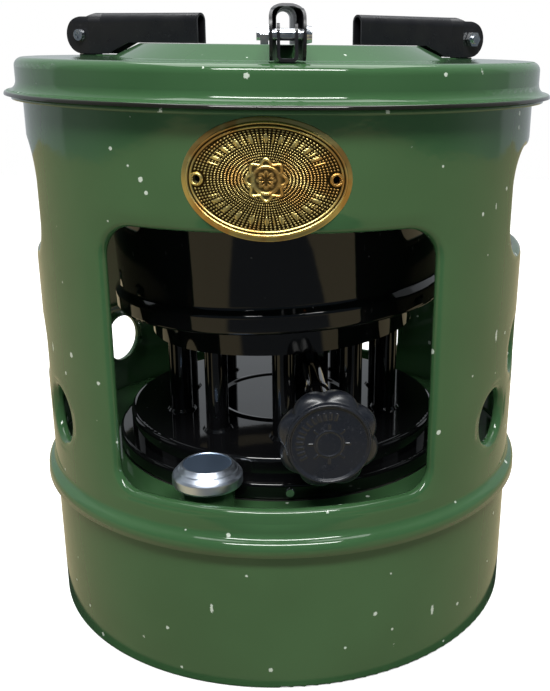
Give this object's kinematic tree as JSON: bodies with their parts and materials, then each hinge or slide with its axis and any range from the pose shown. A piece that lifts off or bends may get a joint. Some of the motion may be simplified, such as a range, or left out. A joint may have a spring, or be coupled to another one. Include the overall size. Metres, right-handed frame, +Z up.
{
  "type": "kerosene stove",
  "caption": "Round enamelled kerosene stove with a windowed casing, a lift-off hob with folding pot supports, a wick burner with chimney, a wick knob and a filler cap.",
  "frame": {"origin": "centre of the tank's base, on the surface it stands on", "axes": "+Z up, -Y to the front where the nameplate and the knob are, +X to the right seen from the front"},
  "size_m": [0.2398, 0.2398, 0.2731],
  "materials": {
    "green_enamel": "glossy vitreous enamel",
    "black_enamel": "glossy black enamel",
    "black_lacquer": "satin black lacquer",
    "zinc_plate": "bright zinc plating",
    "plain_steel": "plain steel",
    "scorched_steel": "dulled by heat",
    "brass": "stamped, slightly worn",
    "knob_plastic": "moulded phenolic, soft gloss",
    "cotton": "braided cotton",
    "gasket_rubber": "matte"
  },
  "bodies": {
    "stove": {"tank_shell": "green_enamel", "tank_top": "green_enamel", "filler_neck": "green_enamel", "casing": "green_enamel", "nameplate": "brass", "nameplate_eyelets": "brass", "base_gasket": "gasket_rubber", "burner_base": "black_enamel", "base_screws": "zinc_plate", "burner_plate": "black_enamel", "rack_guide": "black_enamel", "pinion_housing": "black_enamel", "housing_screws": "zinc_plate", "spindle_sleeve": "black_enamel", "wick_tube_01": "black_enamel", "wick_tube_02": "black_enamel", "wick_tube_03": "black_enamel", "wick_tube_04": "black_enamel", "wick_tube_05": "black_enamel", "wick_tube_06": "black_enamel", "wick_tube_07": "black_enamel", "wick_tube_08": "black_enamel", "wick_tube_09": "black_enamel", "wick_tube_10": "black_enamel"},
    "hob": {"hob": "green_enamel", "hinge_brackets": "black_lacquer", "support_bolts": "zinc_plate", "support_nuts": "zinc_plate"},
    "support_front": {"pot_support_front": "black_lacquer"},
    "support_right": {"pot_support_right": "black_lacquer"},
    "support_left": {"pot_support_left": "black_lacquer"},
    "chimney": {"burner_ring": "black_enamel", "chimney_drum": "black_enamel", "flame_sleeve_outer": "scorched_steel", "flame_sleeve_inner": "scorched_steel", "flame_spreader": "scorched_steel", "sleeve_pins": "plain_steel"},
    "wick_carrier": {"lift_rack": "plain_steel", "wick_spider": "plain_steel", "wick_01": "cotton", "wick_02": "cotton", "wick_03": "cotton", "wick_04": "cotton", "wick_05": "cotton", "wick_06": "cotton", "wick_07": "cotton", "wick_08": "cotton", "wick_09": "cotton", "wick_10": "cotton"},
    "knob": {"spindle": "plain_steel", "pinion": "plain_steel", "knob": "knob_plastic", "spindle_clip": "plain_steel"},
    "filler_cap": {"filler_cap": "zinc_plate", "cap_gasket": "gasket_rubber"}
  },
  "joints": [
    {"name": "hob_lift", "type": "slide", "parent": "stove", "child": "hob", "axis": [0, 0, 1], "range_m": [0, 0.04]},
    {"name": "support_front_fold", "type": "hinge", "parent": "hob", "child": "support_front", "pos_m": [0.00753, -0.10774, 0.2629], "axis": [0.9976, 0.0698, 0], "range_deg": [0, 175]},
    {"name": "support_right_fold", "type": "hinge", "parent": "hob", "child": "support_right", "pos_m": [0.08954, 0.06039, 0.2629], "axis": [-0.5592, 0.829, 0], "range_deg": [0, 175]},
    {"name": "support_left_fold", "type": "hinge", "parent": "hob", "child": "support_left", "pos_m": [-0.09707, 0.04734, 0.2629], "axis": [-0.4384, -0.8988, 0], "range_deg": [0, 175]},
    {"name": "chimney_lift", "type": "slide", "parent": "stove", "child": "chimney", "axis": [0, 0, 1], "range_m": [0, 0.012]},
    {"name": "knob_turn", "type": "hinge", "parent": "stove", "child": "knob", "pos_m": [0.01294, 0.00125, 0.11], "axis": [-0.0958, 0.9954, 0], "range_deg": [0, 143.25]},
    {"name": "wick_lift", "type": "slide", "parent": "stove", "child": "wick_carrier", "axis": [0, 0, 1], "range_m": [0, 0.015]},
    {"name": "cap_lift", "type": "slide", "parent": "stove", "child": "filler_cap", "axis": [0, 0, 1], "range_m": [0, 0.02]}
  ],
  "couplings": [
    {"joint": "knob_turn", "follows": "wick_lift", "rad_per_m": 166.67}
  ]
}
